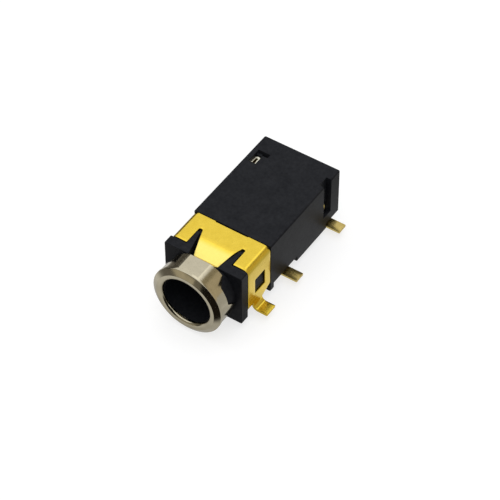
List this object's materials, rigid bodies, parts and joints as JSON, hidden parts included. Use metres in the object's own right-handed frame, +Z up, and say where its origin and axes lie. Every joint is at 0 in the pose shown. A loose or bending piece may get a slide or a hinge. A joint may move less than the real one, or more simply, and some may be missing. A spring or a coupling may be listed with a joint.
{
  "type": "audio jack socket",
  "caption": "Low socket for a 3.5 mm audio plug: black moulded housing, plated nose ring, gold clip with a sprung tongue, and sprung contacts with soldering feet.",
  "frame": {"origin": "on the plug's axis, inside the guide bore, in the plane of the flange's front face", "axes": "+Z up from the board, +X across the width, +Y along the plug bore towards the rear; the plug leaves along -Y"},
  "size_m": [0.008, 0.0139, 0.0052],
  "materials": {
    "housing": "moulded black plastic, satin",
    "ring_plate": "plated shell, warm grey, satin",
    "clip_gold": "gold-plated sheet, satin",
    "contact_gold": "gold-plated spring sheet"
  },
  "bodies": {
    "socket": {"housing": "housing", "nose_ring": "ring_plate", "ground_clip": "clip_gold", "ring_two_terminal": "contact_gold", "detect_terminal": "contact_gold", "ring_one_terminal": "contact_gold", "tip_terminal": "contact_gold"},
    "sleeve_tongue": {"sleeve_spring": "clip_gold"},
    "ring_two_blade": {"ring_two_spring": "contact_gold"},
    "detect_blade": {"detect_spring": "contact_gold"},
    "ring_one_blade": {"ring_one_spring": "contact_gold"},
    "tip_blade": {"tip_spring": "contact_gold"}
  },
  "joints": [
    {"name": "sleeve_flex", "type": "hinge", "parent": "socket", "child": "sleeve_tongue", "pos_m": [0, 0.00165, 0.00204], "axis": [-1, 0, 0], "range_deg": [0, 9], "stiffness_Nm_per_rad": 0.02},
    {"name": "ring_two_flex", "type": "hinge", "parent": "socket", "child": "ring_two_blade", "pos_m": [0.0022, 0.006, 0], "axis": [0, 0, 1], "range_deg": [0, 11], "stiffness_Nm_per_rad": 0.02},
    {"name": "detect_flex", "type": "hinge", "parent": "socket", "child": "detect_blade", "pos_m": [-0.0022, 0.006, 0], "axis": [0, 0, -1], "range_deg": [0, 11], "stiffness_Nm_per_rad": 0.02},
    {"name": "ring_one_flex", "type": "hinge", "parent": "socket", "child": "ring_one_blade", "pos_m": [-0.0022, 0.00982, 0], "axis": [0, 0, -1], "range_deg": [0, 8], "stiffness_Nm_per_rad": 0.026},
    {"name": "tip_flex", "type": "hinge", "parent": "socket", "child": "tip_blade", "pos_m": [0.0022, 0.0073, 0], "axis": [0, 0, -1], "range_deg": [0, 8], "stiffness_Nm_per_rad": 0.024}
  ]
}
